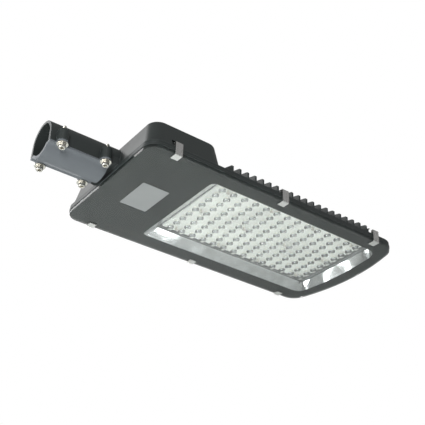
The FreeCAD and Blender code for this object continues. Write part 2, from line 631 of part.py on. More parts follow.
pad(rating_label, label_plan, "label_thick", "sheet")

# Spring clips: bent strips that hook over the rim and hold the glass, three on each side.
RIM_SIDE = "(glass_width / 2 + rim_overhang)"
LEG_INNER = f"({RIM_SIDE} + clip_clearance)"
LEG_OUTER = f"({LEG_INNER} + clip_thick)"
LIP_OUTER = f"({LEG_INNER} - clip_hook_gap)"
LIP_INNER = f"({LIP_OUTER} - clip_thick)"
CLIP_TOP = f"({RIM_TOP} + clip_rise)"
FOOT_TOP = f"({GLASS_UNDER} - clip_clearance)"
LIP_END = f"({RIM_TOP} + clip_clearance)"
TIP = "(glass_width / 2 - clip_foot)"


END_ROUNDING = 0.48  # share of the strip's thickness, so that a narrow flat is left


def spring_clip(name, back, side):
    body = new_body(name)
    section = new_sketch(body, "section", f"back_edge + {back} - clip_width / 2", "YZ_Plane")
    outline = [(TIP, FOOT_TOP), (LEG_INNER, FOOT_TOP), (LEG_INNER, f"{CLIP_TOP} - clip_thick"),
               (LIP_OUTER, f"{CLIP_TOP} - clip_thick"), (LIP_OUTER, LIP_END), (LIP_INNER, LIP_END),
               (LIP_INNER, CLIP_TOP), (LEG_OUTER, CLIP_TOP), (LEG_OUTER, f"{FOOT_TOP} - clip_thick"),
               (TIP, f"{FOOT_TOP} - clip_thick")]
    polygon(section, [(f"{side} * {across}", up) for across, up in outline])
    pad(body, section, "clip_width", "strip")
    corners = [(value(f"{side} * {across}"), value(up)) for across, up in outline]
    inner = [corners[index] for index in (1, 2, 3)]
    outer = [corners[index] for index in (6, 7, 8)]
    end = [corners[index] for index in (4, 5)]
    for bends, size, word in ((inner, "clip_thick / 2", "inner"), (outer, "clip_thick * 1.5", "outer"),
                              (end, f"clip_thick * {END_ROUNDING}", "end")):
        names = edges_where(body.Tip, lambda box, mid: any(along_x(box, y, z) for y, z in bends))
        fillet(body, names, size, f"{word}_bends")
    return body


clips = [spring_clip(f"spring_clip_{word}_{place}", back, side)
         for word, side in (("right", -1), ("left", 1)) for place, back in CLIP_PLACES.items()]

# LED engine: board, chips, one-piece lens plate and polished reflector, screwed to the heat sink plate.
lens_plate = new_body("lens_plate")
lens_plan = new_sketch(lens_plate, "plan", LENS_LOW)
lens_rectangle(lens_plan, "lens_margin_long", "lens_margin_wide")
pad(lens_plate, lens_plan, "lens_plate_thick", "sheet")
lens_bosses = new_sketch(lens_plate, "bosses", LENS_LOW)
circles(lens_bosses, LENS_SCREWS, "lens_boss_radius")
pad(lens_plate, lens_bosses, "lens_plate_thick + lens_gap", "spacers")
DOME_SPHERE = "((lens_radius ^ 2 + lens_height ^ 2) / (2 * lens_height))"
DOME_ROOT = "(lens_plate_thick / 4)"
dome = lens_plate.newObject("PartDesign::AdditiveSphere", "lens_plate_dome")
bind(dome, "Radius", DOME_SPHERE)
bind(dome, "Placement.Base.x", LENS_START)
bind(dome, "Placement.Base.y", f"0 - {LENS_SIDE}")
bind(dome, "Placement.Base.z", f"{LENS_LOW} - lens_height + {DOME_SPHERE}")
dome.Angle1 = -90
bind(dome, "Angle2", f"asin(({DOME_ROOT} + lens_height - {DOME_SPHERE}) / {DOME_SPHERE})")
doc.recompute()
domes = lens_plate.newObject("PartDesign::MultiTransform", "lens_plate_domes")
domes.Originals = [dome]
directions = []
for role, pitch, count in (("X_Axis", "lens_pitch_long", "lens_columns"),
                           ("Y_Axis", "lens_pitch_wide", "lens_rows")):
    pattern = lens_plate.newObject("PartDesign::LinearPattern", f"lens_plate_{role}")
    pattern.Direction = (origin_item(lens_plate, role), [""])
    bind(pattern, "Length", f"{pitch} * ({count} - 1)")
    bind(pattern, "Occurrences", count)
    directions.append(pattern)
domes.Transformations = directions
lens_plate.Tip = domes
doc.recompute()
lens_holes = new_sketch(lens_plate, "holes", LENS_LOW)
circles(lens_holes, LENS_SCREWS, "lens_screw_radius + hole_clearance")
pocket(lens_plate, lens_holes, "lens_plate_thick + lens_gap", "screw_holes")

led_board = new_body("led_board")
board_plan = new_sketch(led_board, "plan", BOARD_LOW)
lens_rectangle(board_plan, "board_margin_long", "board_margin_wide")
circles(board_plan, LENS_SCREWS, "lens_screw_radius + hole_clearance")
pad(led_board, board_plan, "board_thick", "sheet")
thermal_pad = new_body("thermal_pad")
pad_plan = new_sketch(thermal_pad, "plan", BOARD_TOP)
lens_rectangle(pad_plan, "board_margin_long", "board_margin_wide")
circles(pad_plan, LENS_SCREWS, "lens_screw_radius + hole_clearance")
pad(thermal_pad, pad_plan, "pad_thick", "sheet")

chip = value("chip_size")
chip_shapes = []
for column in range(int(value("lens_columns"))):
    for row in range(int(value("lens_rows"))):
        corner = Vector(value(LENS_START) + column * value("lens_pitch_long") - chip / 2,
                        row * value("lens_pitch_wide") - value(LENS_SIDE) - chip / 2,
                        value(f"{BOARD_LOW} - chip_thick"))
        chip_shapes.append(Part.makeBox(chip, chip, value("chip_thick"), corner))
compound("led_chips", chip_shapes)

reflector = new_body("reflector_tray")
TRAY_LOW = f"({PRINT_TOP} + tray_gap)"
for kind, grow in (("Additive", "tray_wall"), ("Subtractive", "0")):
    tray_foot = new_sketch(reflector, f"foot_{kind}", TRAY_LOW)
    window_outline(tray_foot, f"tray_wall + {grow}")
    tray_top = new_sketch(reflector, f"top_{kind}", f"{LENS_LOW} - tray_gap")
    bowed_outline(tray_top, f"{LENS_START} - tray_margin_long - {grow}",
                  f"{LENS_END} + tray_margin_long + {grow}",
                  f"{LENS_SIDE} + tray_margin_wide + {grow}", f"tray_top_curve + {grow}",
                  f"lens_plate_corner + {grow}", f"lens_plate_corner + {grow}")
    loft(reflector, kind, tray_foot, tray_top, kind.lower())


def turned_piece(name, outline, places):
    """Solids of revolution from an outline of (radius, height) pairs, standing at each place."""
    spots = [Vector(value(r), 0, value(up)) for r, up in outline]
    solid = Part.Face(Part.makePolygon(spots + spots[:1])).revolve(Vector(), Vector(0, 0, 1), 360)
    return compound(name, [solid.translated(Vector(value(x), value(y), 0)) for x, y in places])


PAN_CROWN = 0.8  # flat end of a pan head, as a share of the head's radius


def pan_screws(name, size, seat, tip, places):
    """Pan-head screws whose heads press on the underside at seat, with their tips up at tip."""
    crown, edge = f"{seat} - {size}_head_height", f"{seat} - {size}_head_height / 2"
    turned_piece(name, [("0", crown), (f"{size}_head * {PAN_CROWN}", crown), (f"{size}_head", edge),
                        (f"{size}_head", seat), (f"{size}_radius", seat), (f"{size}_radius", tip),
                        ("0", tip)], places)


# Screws of the LED engine and of the driver.
TAB_LOW = f"({CAVITY_TOP} - tab_thick)"
pan_screws("lens_screws", "lens_screw", LENS_LOW, f"{RECESS_TOP} + lens_screw_bite", LENS_SCREWS)
pan_screws("driver_screws", "driver_screw", TAB_LOW, f"{CAVITY_TOP} + driver_screw_bite", DRIVER_SCREWS)

# Driver: potted aluminium case with a fixing tab at each end, screwed under the roof of the box.
driver = new_body("led_driver")
case_plan = new_sketch(driver, "case_plan", f"{CAVITY_TOP} - driver_height")
rounded_rectangle(case_plan, "back_edge + driver_back", "back_edge + driver_back + driver_length",
                  "0 - driver_width / 2 - driver_side", "driver_width / 2 - driver_side", "driver_corner")
pad(driver, case_plan, "driver_height", "case")
tab_plan = new_sketch(driver, "tab_plan", TAB_LOW)
rounded_rectangle(tab_plan, f"{DRIVER_MIDDLE} - tab_width / 2", f"{DRIVER_MIDDLE} + tab_width / 2",
                  "0 - driver_width / 2 - tab_length - driver_side",
                  "driver_width / 2 + tab_length - driver_side", "driver_corner")
pad(driver, tab_plan, "tab_thick", "tabs")
tab_holes = new_sketch(driver, "tab_holes", TAB_LOW)
circles(tab_holes, DRIVER_SCREWS, "driver_screw_radius + hole_clearance")
pocket(driver, tab_holes, "tab_thick", "tab_holes_cut")

# Terminal block under the roof beside the driver, with one wire entry and one screw for each way.
terminal = new_body("terminal_block")
TERMINAL_SIDE = "(driver_width / 2 + tab_length - driver_side + terminal_gap)"
TERMINAL_BACK = f"({DRIVER_MIDDLE} - terminal_length / 2)"
TERMINAL_LOW = f"({CAVITY_TOP} - terminal_height)"
terminal_plan = new_sketch(terminal, "plan", TERMINAL_LOW)
rounded_rectangle(terminal_plan, TERMINAL_BACK, f"{TERMINAL_BACK} + terminal_length",
                  TERMINAL_SIDE, f"{TERMINAL_SIDE} + terminal_width", "terminal_corner")
pad(terminal, terminal_plan, "terminal_height", "block")
WAYS = [f"{TERMINAL_SIDE} + terminal_width * {(way + 0.5) / value('terminal_ways')}"
        for way in range(int(value("terminal_ways")))]
terminal_wells = new_sketch(terminal, "wells", TERMINAL_LOW)
circles(terminal_wells, [(f"{DRIVER_MIDDLE} + terminal_row", way) for way in WAYS], "terminal_well_radius")
pocket(terminal, terminal_wells, "terminal_well_depth", "screw_wells")


def lead(name, points):
    """A round lead along straight runs joined by tangent arcs, as large as the runs allow."""
    spots = [Vector(*(value(text) for text in point)) for point in points]
    edges = []
    start = spots[0]
    for before, corner, after in zip(spots, spots[1:], spots[2:]):
        enter, leave = (corner - before), (after - corner)
        shorter = 0.45 * min(enter.Length, leave.Length)
        enter.normalize()
        leave.normalize()
        half_turn = enter.getAngle(leave) / 2
        bend = shorter / math.tan(half_turn)
        arc_start, arc_end = corner - enter * shorter, corner + leave * shorter
        inward = (leave - enter).normalize()
        middle = corner + inward * (bend / math.cos(half_turn) - bend)
        edges.append(Part.LineSegment(start, arc_start).toShape())
        edges.append(Part.Arc(arc_start, middle, arc_end).toShape())
        start = arc_end
        print(f"{name}: bend radius {bend:.1f}")
    edges.append(Part.LineSegment(start, spots[-1]).toShape())
    path = Part.Wire(edges)
    ring = Part.Wire(Part.makeCircle(value("lead_radius"), spots[0], spots[1] - spots[0]))
    tube = path.makePipeShell([ring], True, True)
    expected = math.pi * value("lead_radius") ** 2 * path.Length
    if abs(tube.Volume - expected) > 0.01 * expected:
        raise RuntimeError(f"{name} has the wrong volume")
    item = doc.addObject("Part::Feature", name)
    item.Label = name
    item.Shape = tube


# Leads: mains from the terminal block to the driver, and low voltage from the driver to the LED board.
DRIVER_LOW = f"({CAVITY_TOP} - driver_height)"
DRIVER_END = "(driver_width / 2 - driver_side)"
DRIVER_FRONT = "(back_edge + driver_back + driver_length)"
ENTRY_ROW = f"({DRIVER_MIDDLE} - terminal_row)"
ENTRY_SIDE = f"({TERMINAL_SIDE} + terminal_width / 2)"
lead("input_lead", [(ENTRY_ROW, DRIVER_END, f"{DRIVER_LOW} + lead_exit"),
                    (ENTRY_ROW, ENTRY_SIDE, f"{DRIVER_LOW} + lead_exit"),
                    (ENTRY_ROW, ENTRY_SIDE, TERMINAL_LOW)])
LEAD_BENDS = f"(back_edge + recess_back - web_thick - {DRIVER_FRONT})"
FIRST_BEND, SECOND_BEND = 0.35, 0.8  # shares of the way from the driver to the wall before the LED recess
lead("output_lead", [(DRIVER_FRONT, "0", f"{DRIVER_LOW} + lead_exit"),
                     (f"{DRIVER_FRONT} + {FIRST_BEND} * {LEAD_BENDS}", "0", f"{DRIVER_LOW} + lead_exit"),
                     (f"{DRIVER_FRONT} + {SECOND_BEND} * {LEAD_BENDS}", "0", LEAD_HEIGHT),
                     (f"{LENS_START} - board_margin_long", "0", LEAD_HEIGHT)])

# Cable gland in the wall between the arm and the driver box, open for a cable that comes through the pipe.
GLAND_HEAD = "(pipe_depth + gland_recess_depth)"
GLAND_END = "(back_edge + box_top_back + box_wall)"
GLAND_NOSE = f"({GLAND_HEAD} - gland_head_height)"
GLAND_SIDE = "(gland_recess_radius - gland_head_play)"
gland_outline = [("gland_bore", GLAND_NOSE), ("gland_hole_radius + gland_nose", GLAND_NOSE),
                 (GLAND_SIDE, f"{GLAND_NOSE} + gland_head_bevel"), (GLAND_SIDE, GLAND_HEAD),
                 ("gland_hole_radius", GLAND_HEAD), ("gland_hole_radius", f"{GLAND_END} + gland_tail"),
                 ("gland_bore", f"{GLAND_END} + gland_tail")]
gland = new_body("cable_gland")
gland_section = new_sketch(gland, "section", "0", "XZ_Plane")
polygon(gland_section, [(along, across) for across, along in gland_outline])
turn = gland.newObject("PartDesign::Revolution", "cable_gland_turn")
turn.Profile = gland_section
turn.ReferenceAxis = (gland_section, ["H_Axis"])
turn.Angle = 360
doc.recompute()

# Pipe clamp: the saddle under the pipe, its four socket screws and their washers.
saddle = new_body("clamp_saddle")
saddle_section = new_sketch(saddle, "section", "0", "YZ_Plane")
SADDLE_OUTER = "(bore_radius + saddle_wall)"
seat, belly = value("bore_radius"), value(SADDLE_OUTER)
ear_top, ear_low, ear_side = value(EAR_TOP), value(EAR_LOW), value(f"{ARCH_OUTER} + arm_spread")
SEAT_HALF = f"sqrt(bore_radius ^ 2 - {EAR_TOP} ^ 2)"
BELLY_HALF = f"sqrt({SADDLE_OUTER} ^ 2 - {EAR_LOW} ^ 2)"
seat_half, belly_half = value(SEAT_HALF), value(BELLY_HALF)
seat_angle, belly_angle = math.atan2(ear_top, seat_half), math.atan2(ear_low, belly_half)
corner_points = [(seat_half, ear_top), (ear_side, ear_top), (ear_side, ear_low), (belly_half, ear_low)]
right = [Vector(y, z, 0) for y, z in corner_points]
left = [Vector(-y, z, 0) for y, z in corner_points]
saddle_section.addGeometry([
    *(Part.LineSegment(right[step], right[step + 1]) for step in (0, 1, 2)),
    *(Part.LineSegment(left[step], left[step - 1]) for step in (3, 2, 1)),
    arc(Vector(0, 0, 0), seat, -math.pi - seat_angle, seat_angle),
    arc(Vector(0, 0, 0), belly, -math.pi - belly_angle, belly_angle)], False)
for leave, exit_point, enter, entry in ((0, 2, 1, 1), (1, 2, 2, 1), (2, 2, 7, 2), (7, 1, 3, 1), (3, 2, 4, 1),
                                        (4, 2, 5, 1), (5, 2, 6, 1), (6, 2, 0, 1)):
    saddle_section.addConstraint(Sketcher.Constraint("Coincident", leave, exit_point, enter, entry))
for curve, size in ((6, "bore_radius"), (7, SADDLE_OUTER)):
    saddle_section.addConstraint(Sketcher.Constraint("Coincident", curve, 3, -1, 1))
    radius(saddle_section, curve, size)
for line in (0, 2, 3, 5):
    saddle_section.addConstraint(Sketcher.Constraint("Horizontal", line))
for line in (1, 4):
    saddle_section.addConstraint(Sketcher.Constraint("Vertical", line))
dimension(saddle_section, "DistanceY", 0, 1, EAR_TOP)
dimension(saddle_section, "DistanceY", 2, 2, EAR_LOW)
dimension(saddle_section, "DistanceX", 1, 1, f"{ARCH_OUTER} + arm_spread")
dimension(saddle_section, "DistanceX", 4, 1, f"0 - {ARCH_OUTER} - arm_spread")
dimension(saddle_section, "DistanceY", 5, 2, EAR_TOP)
dimension(saddle_section, "DistanceY", 3, 1, EAR_LOW)
pad(saddle, saddle_section, "saddle_length", "shell")
fillet(saddle, edges_where(saddle.Tip, lambda box, mid: along_x(box, belly_half, ear_low)
                           or along_x(box, -belly_half, ear_low)), "saddle_root", "root_round")
lobe_plan = new_sketch(saddle, "lobe_plan", EAR_LOW)
lug_loops(lobe_plan, "bore_radius + arm_wall / 2")
pad(saddle, lobe_plan, "ear_thick", "lobes")
saddle_holes = new_sketch(saddle, "holes", EAR_LOW)
circles(saddle_holes, BOLTS, "screw_radius + hole_clearance")
pocket(saddle, saddle_holes, "ear_thick", "screw_holes")

HEAD_TOP = f"({EAR_LOW} - washer_thick)"
HEAD_LOW = f"({HEAD_TOP} - screw_head_height)"
turned_piece("clamp_washers", [
    ("screw_radius + hole_clearance", HEAD_TOP), ("washer_radius", HEAD_TOP),
    ("washer_radius", EAR_LOW), ("screw_radius + hole_clearance", EAR_LOW)], BOLTS)


def clamp_screw(number, place):
    body = new_body(f"clamp_screw_{number}")
    for field, text in zip(("x", "y"), place):
        bind(body, f"Placement.Base.{field}", text)
    section = new_sketch(body, "section", "0", "XZ_Plane")
    polygon(section, [
        ("0", HEAD_LOW), ("screw_head_radius - screw_bevel", HEAD_LOW),
        ("screw_head_radius", f"{HEAD_LOW} + screw_bevel"),
        ("screw_head_radius", HEAD_TOP), ("screw_radius", HEAD_TOP),
        ("screw_radius", f"{HEAD_TOP} + screw_length - screw_bevel"),
        ("screw_radius - screw_bevel", f"{HEAD_TOP} + screw_length"), ("0", f"{HEAD_TOP} + screw_length")])
    spin = body.newObject("PartDesign::Revolution", f"{body.Name}_turn")
    spin.Profile = section
    spin.ReferenceAxis = (section, ["V_Axis"])
    spin.Angle = 360
    doc.recompute()
    socket = new_sketch(body, "socket", HEAD_LOW)
    across, corner = "socket_width / 2", "socket_width / sqrt(3)"
    polygon(socket, [(corner, "0"), (f"{corner} / 2", across), (f"0 - {corner} / 2", across),
                     (f"0 - {corner}", "0"), (f"0 - {corner} / 2", f"0 - {across}"),
                     (f"{corner} / 2", f"0 - {across}")])
    pocket(body, socket, "socket_depth", "hexagon")
    return body


screws = [clamp_screw(number, place) for number, place in enumerate(BOLTS, 1)]

# Every object has to be sound before anything is written.
doc.recompute()
broken = [item.Name for item in doc.Objects if {"Invalid", "Error"} & set(item.State)]
if broken:
    raise RuntimeError(f"failed objects: {broken}")
nodes = [item for item in doc.Objects
         if item.TypeId in ("PartDesign::Body", "Part::Feature") and item.getParentGeoFeatureGroup() is None]
for node in nodes:
    if node.Shape.isNull() or not node.Shape.isValid():
        raise RuntimeError(f"{node.Label} is not a valid shape")
os.makedirs("parts", exist_ok=True)
for node in nodes:
    node.Shape.exportStep(os.path.join("parts", f"{node.Label}.step"))
    print(f"{node.Label}: {len(node.Shape.Solids)} solids, {node.Shape.Volume / 1000:.2f} cm3")
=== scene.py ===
import math

import bmesh
import bpy
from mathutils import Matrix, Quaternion, Vector


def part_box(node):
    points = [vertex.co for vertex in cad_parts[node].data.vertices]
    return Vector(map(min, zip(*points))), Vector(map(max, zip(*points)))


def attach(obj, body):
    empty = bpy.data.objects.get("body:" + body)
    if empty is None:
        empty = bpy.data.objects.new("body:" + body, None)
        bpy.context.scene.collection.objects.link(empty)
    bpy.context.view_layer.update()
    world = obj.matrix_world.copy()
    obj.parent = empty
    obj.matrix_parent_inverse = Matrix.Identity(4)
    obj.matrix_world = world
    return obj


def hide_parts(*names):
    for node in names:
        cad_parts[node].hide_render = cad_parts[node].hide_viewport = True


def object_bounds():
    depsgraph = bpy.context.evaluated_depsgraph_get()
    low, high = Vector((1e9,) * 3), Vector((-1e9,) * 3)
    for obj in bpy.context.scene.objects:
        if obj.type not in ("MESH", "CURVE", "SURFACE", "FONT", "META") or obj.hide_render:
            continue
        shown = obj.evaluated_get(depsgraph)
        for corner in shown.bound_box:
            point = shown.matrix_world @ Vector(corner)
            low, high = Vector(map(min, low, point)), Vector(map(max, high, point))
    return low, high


# The lamp's finishes and small parts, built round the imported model. Metres, with the origin on the
# axis of the pipe bore at the mouth of the arm, +X from the pipe to the front and +Z up.
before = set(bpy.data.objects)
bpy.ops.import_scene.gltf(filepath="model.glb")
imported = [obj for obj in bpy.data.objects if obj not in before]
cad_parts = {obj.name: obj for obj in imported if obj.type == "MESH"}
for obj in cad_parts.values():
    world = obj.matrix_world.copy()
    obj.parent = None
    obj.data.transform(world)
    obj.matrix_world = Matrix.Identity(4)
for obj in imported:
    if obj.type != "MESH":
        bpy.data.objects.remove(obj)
cad_low, cad_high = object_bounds()


# Camera: a long lens below the pole end and to the lamp's right, looking up at the glass, as a
# person on the ground sees the lamp. It leans a little to one side.
CAMERA_PLACE = Vector((-0.3423, -0.8884, -0.6703))
CAMERA_AIM = Vector((0.2473, -0.0609, -0.0509))
CAMERA_LENS = 70.37
CAMERA_LEAN = math.radians(1.83)


def linked(name, data):
    """An object made of this data, in the scene."""
    made = bpy.data.objects.new(name, data)
    bpy.context.scene.collection.objects.link(made)
    return made


camera = linked("camera", bpy.data.cameras.new("camera"))
camera.data.lens = CAMERA_LENS
camera.location = CAMERA_PLACE
camera.rotation_mode = "QUATERNION"
look = (CAMERA_AIM - CAMERA_PLACE).to_track_quat("-Z", "Y")
camera.rotation_quaternion = look @ Quaternion((0, 0, 1), CAMERA_LEAN)
bpy.context.scene.camera = camera


# Studio: a pale floor far below the lamp, a white backdrop, soft boxes, and an even grey surround
# that only shading and reflections see. The surround is a little darker above than below.
FLOOR_LEVEL = -1.5
FLOOR_HALF = 5.0
FLOOR_COLOUR = (0.80, 0.84, 0.82, 1)
FLOOR_ROUGHNESS = 0.8
BACKDROP_WHITE = (1, 1, 1, 1)
SURROUND_LEVEL = 0.42
SURROUND_HIGH = 0.38
SURROUND_FADE = 0.7
LAMP_MIDDLE = (cad_low + cad_high) / 2
REFLECTOR_SIDE = (0.21, 0.09, -0.017)
REFLECTOR_FRONT = (0.552, 0.0, -0.017)
POOL_ON_FLOOR = (1.05, 1.9, FLOOR_LEVEL)


def shader_node(tree, kind, sources=None, **settings):
    """A shader node with its settings. A source is an output to link, or the value of a free socket."""
    made = tree.nodes.new(f"ShaderNode{kind}")
    for name, setting in settings.items():
        setattr(made, name, setting)
    for socket, source in (sources or {}).items():
        if isinstance(source, bpy.types.NodeSocket):
            tree.links.new(source, made.inputs[socket])
        else:
            made.inputs[socket].default_value = source
    return made


def ranged(tree, value, from_low, from_high, to_low, to_high):
    """The value carried from one range to another, held at the ends."""
    return shader_node(tree, "MapRange", {
        "Value": value, "From Min": from_low, "From Max": from_high,
        "To Min": to_low, "To Max": to_high}).outputs["Result"]


world = bpy.data.worlds.new("studio")
bpy.context.scene.world = world
world.use_nodes = True
sky = world.node_tree
sky.nodes.clear()
direction = shader_node(sky, "TexCoord").outputs["Generated"]
height = shader_node(sky, "SeparateXYZ", {"Vector": direction}).outputs["Z"]
strength = ranged(sky, height, 0.0, SURROUND_FADE, SURROUND_LEVEL, SURROUND_HIGH)
surround = shader_node(sky, "Background", {"Strength": strength})
backdrop = shader_node(sky, "Background", {"Color": BACKDROP_WHITE, "Strength": 1.0})
seen = shader_node(sky, "LightPath").outputs["Is Camera Ray"]
chosen = shader_node(sky, "MixShader", {0: seen, 1: surround.outputs[0], 2: backdrop.outputs[0]})
shader_node(sky, "OutputWorld", {"Surface": chosen.outputs[0]})
bpy.context.scene.view_settings.view_transform = "Standard"

floor_mesh = bpy.data.meshes.new("floor")
floor_corners = [
    (-FLOOR_HALF, -FLOOR_HALF, FLOOR_LEVEL), (FLOOR_HALF, -FLOOR_HALF, FLOOR_LEVEL),
    (FLOOR_HALF, FLOOR_HALF, FLOOR_LEVEL), (-FLOOR_HALF, FLOOR_HALF, FLOOR_LEVEL)]
floor_mesh.from_pydata(floor_corners, [], [(0, 1, 2, 3)])
floor = linked("floor", floor_mesh)
floor_paint = bpy.data.materials.new("floor_paint")
floor_paint.use_nodes = True
floor_shader = floor_paint.node_tree.nodes["Principled BSDF"].inputs
floor_shader["Base Color"].default_value = FLOOR_COLOUR
floor_shader["Roughness"].default_value = FLOOR_ROUGHNESS
floor_mesh.materials.append(floor_paint)


def soft_box(name, place, aim, wide, high, watts):
    """A flat rectangular light that faces its aim and that the camera doesn't see."""
    light = bpy.data.lights.new(name, "AREA")
    light.shape = "RECTANGLE"
    light.size = wide
    light.size_y = high
    light.energy = watts
    box = linked(name, light)
    box.location = place
    box.rotation_mode = "QUATERNION"
    box.rotation_quaternion = (Vector(aim) - Vector(place)).to_track_quat("-Z", "Y")
    box.visible_camera = False


# The key, wall and back lights shape the lamp. The two small cards show as bright strips in the
# reflector's walls. The floor light makes a pool that the glass and the clips' feet reflect.
soft_box("key_light", place=(-1.3, 0.2, -1.4), aim=LAMP_MIDDLE, wide=1.0, high=1.0, watts=38)
soft_box("side_wall_card", place=(0.690, -0.456, -0.726), aim=REFLECTOR_SIDE,
         wide=0.085, high=0.06, watts=0.16)
soft_box("front_wall_card", place=(-0.064, 0.604, -0.504), aim=REFLECTOR_FRONT,
         wide=0.21, high=0.04, watts=0.14)
soft_box("wall_light", place=(-0.9, -1.3, -0.1), aim=LAMP_MIDDLE, wide=0.35, high=0.9, watts=14)
soft_box("floor_light", place=(1.05, 1.9, 0.3), aim=POOL_ON_FLOOR, wide=1.0, high=1.0, watts=31)
soft_box("back_light", place=(-0.6, 1.6, 1.4), aim=LAMP_MIDDLE, wide=1.2, high=1.2, watts=12)


# Housing: one aluminium die casting with the arm, the driver box, the rim and the fins, shot blasted
# and powder coated dark grey. The coat is satin with a fine orange peel, and its sharp edges are
# painted a paler grey as a painted highlight.
COAT_GREY = (0.026, 0.032, 0.031, 1)
# Painted highlight: the paler grey painted on the coat's sharp edges.
COAT_HIGHLIGHT_GREY = (0.15, 0.17, 0.18, 1)
COAT_ROUGHNESS = 0.44
COAT_EDGE = 0.0010
PEEL_SIZE = 0.0011
PEEL_DEPTH = 0.00002
PATCHES_PER_METRE = 14.0
EDGE_SAMPLES = 4
# Turns of the rounded normal at which the edge mask, and so the painted edge highlight, is full and none.
EDGE_HIGHLIGHT_FULL = 0.86
EDGE_HIGHLIGHT_NONE = 0.99


def maths(tree, operation, first, second=0.0):
    """The result of one sum on two values."""
    return shader_node(tree, "Math", {0: first, 1: second}, operation=operation).outputs[0]


def shader_group(name, inputs, outputs):
    """An empty node group with its sockets, its input node's outputs and its output node's inputs."""
    group = bpy.data.node_groups.new(name, "ShaderNodeTree")
    for label, kind, value in inputs:
        socket = group.interface.new_socket(label, in_out="INPUT", socket_type=f"NodeSocket{kind}")
        socket.default_value = value
    for label, kind in outputs:
        group.interface.new_socket(label, in_out="OUTPUT", socket_type=f"NodeSocket{kind}")
    return group, group.nodes.new("NodeGroupInput").outputs, group.nodes.new("NodeGroupOutput").inputs


def place_group(tree, group, sources):
    """The group placed in a material, with its own values. Returns its outputs."""
    placed = shader_node(tree, "Group", node_tree=group)
    for socket, source in sources.items():
        if isinstance(source, bpy.types.NodeSocket):
            tree.links.new(source, placed.inputs[socket])
        else:
            placed.inputs[socket].default_value = source
    return placed.outputs


def blended(tree, factor, first, second):
    """Two colours mixed."""
    return shader_node(tree, "Mix", {0: factor, 6: first, 7: second}, data_type="RGBA").outputs[2]


def coordinates(tree):
    """Places on the piece itself, in metres."""
    return shader_node(tree, "TexCoord").outputs["Object"]


def new_material(name, **constants):
    """A material, its tree and its Principled shader's inputs, with plain values set on them."""
    material = bpy.data.materials.new(name)
    material.use_nodes = True
    tree = material.node_tree
    shader = tree.nodes["Principled BSDF"].inputs
    for label, value in constants.items():
        shader[label.replace("_", " ")].default_value = value
    return material, tree, shader


def connect(tree, shader, outputs):
    """Links a group's Colour, Roughness and Normal to the shader."""
    for label, socket in (("Colour", "Base Color"), ("Roughness", "Roughness"), ("Normal", "Normal")):
        tree.links.new(outputs[label], shader[socket])


def dress(material, *names):
    """Gives the named nodes of the frame, which keep their shape, their material."""
    for name in names:
        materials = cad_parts[name].data.materials
        materials.clear()
        materials.append(material)


# Edges that a casting, a moulding or a rolled strip has rounded, and a mask of them where the
# finishes paint a lighter edge as a painted highlight.
soft_edges, given, made = shader_group(
    "soft_edges", [("Radius", "Float", 0.0005)], [("Edge", "Float"), ("Normal", "Vector")])
rounded = shader_node(soft_edges, "Bevel", {"Radius": given["Radius"]}, samples=EDGE_SAMPLES)
flat = shader_node(soft_edges, "NewGeometry")
turn = shader_node(soft_edges, "VectorMath", {0: rounded.outputs["Normal"], 1: flat.outputs["Normal"]},
                   operation="DOT_PRODUCT")
edge = ranged(soft_edges, turn.outputs["Value"], EDGE_HIGHLIGHT_FULL, EDGE_HIGHLIGHT_NONE, 1.0, 0.0)
soft_edges.links.new(edge, made["Edge"])
soft_edges.links.new(rounded.outputs["Normal"], made["Normal"])

# Sprayed or powdered coat: cells of orange peel, slight unevenness of tone and gloss, and paler
# edges that are a painted highlight.
coat, given, made = shader_group(
    "sprayed_coat",
    [("Colour", "Color", COAT_GREY), ("Highlight Colour", "Color", COAT_HIGHLIGHT_GREY), ("Edge", "Float", 0.0),
     ("Normal", "Vector", (0, 0, 0)), ("Peel Size", "Float", PEEL_SIZE),
     ("Peel Depth", "Float", PEEL_DEPTH), ("Roughness", "Float", 0.45)],
    [("Colour", "Color"), ("Roughness", "Float"), ("Normal", "Vector")])
spot = coordinates(coat)
peel = shader_node(coat, "TexNoise", {
    "Vector": spot, "Scale": maths(coat, "DIVIDE", 1.0, given["Peel Size"]),
    "Detail": 2.0, "Roughness": 0.5}).outputs[0]
patch = shader_node(coat, "TexNoise", {
    "Vector": spot, "Scale": PATCHES_PER_METRE, "Detail": 3.0}).outputs[0]
# Painted highlight: the edge mask, broken into patches, mixes the highlight colour into the coat.
painted_highlight = maths(coat, "MULTIPLY", given["Edge"], ranged(coat, patch, 0.35, 0.65, 0.2, 0.9))
highlighted = blended(coat, painted_highlight, given["Colour"], given["Highlight Colour"])
shade = shader_node(coat, "HueSaturation", {
    "Color": highlighted, "Value": ranged(coat, patch, 0.3, 0.7, 0.9, 1.1)})
gloss = maths(coat, "ADD", given["Roughness"], ranged(coat, patch, 0.3, 0.7, -0.04, 0.05))
relief = shader_node(coat, "Bump", {
    "Height": peel, "Distance": given["Peel Depth"], "Normal": given["Normal"]})
coat.links.new(shade.outputs[0], made["Colour"])
coat.links.new(gloss, made["Roughness"])
coat.links.new(relief.outputs[0], made["Normal"])


def coated(name, colour, highlight_colour, roughness, edge=COAT_EDGE, peel=PEEL_SIZE, depth=PEEL_DEPTH):
    """A coated metal or a moulded plastic, with a painted highlight on its edges. The edge's radius, the
    peel and its depth are in metres.
    """
    material, tree, shader = new_material(name)
    edges = place_group(tree, soft_edges, {"Radius": edge})
    connect(tree, shader, place_group(tree, coat, {
        "Colour": colour, "Highlight Colour": highlight_colour, "Edge": edges["Edge"], "Normal": edges["Normal"],
        "Peel Size": peel, "Peel Depth": depth, "Roughness": roughness}))
    return material


dress(coated("powder_coat", COAT_GREY, COAT_HIGHLIGHT_GREY, COAT_ROUGHNESS), "housing")


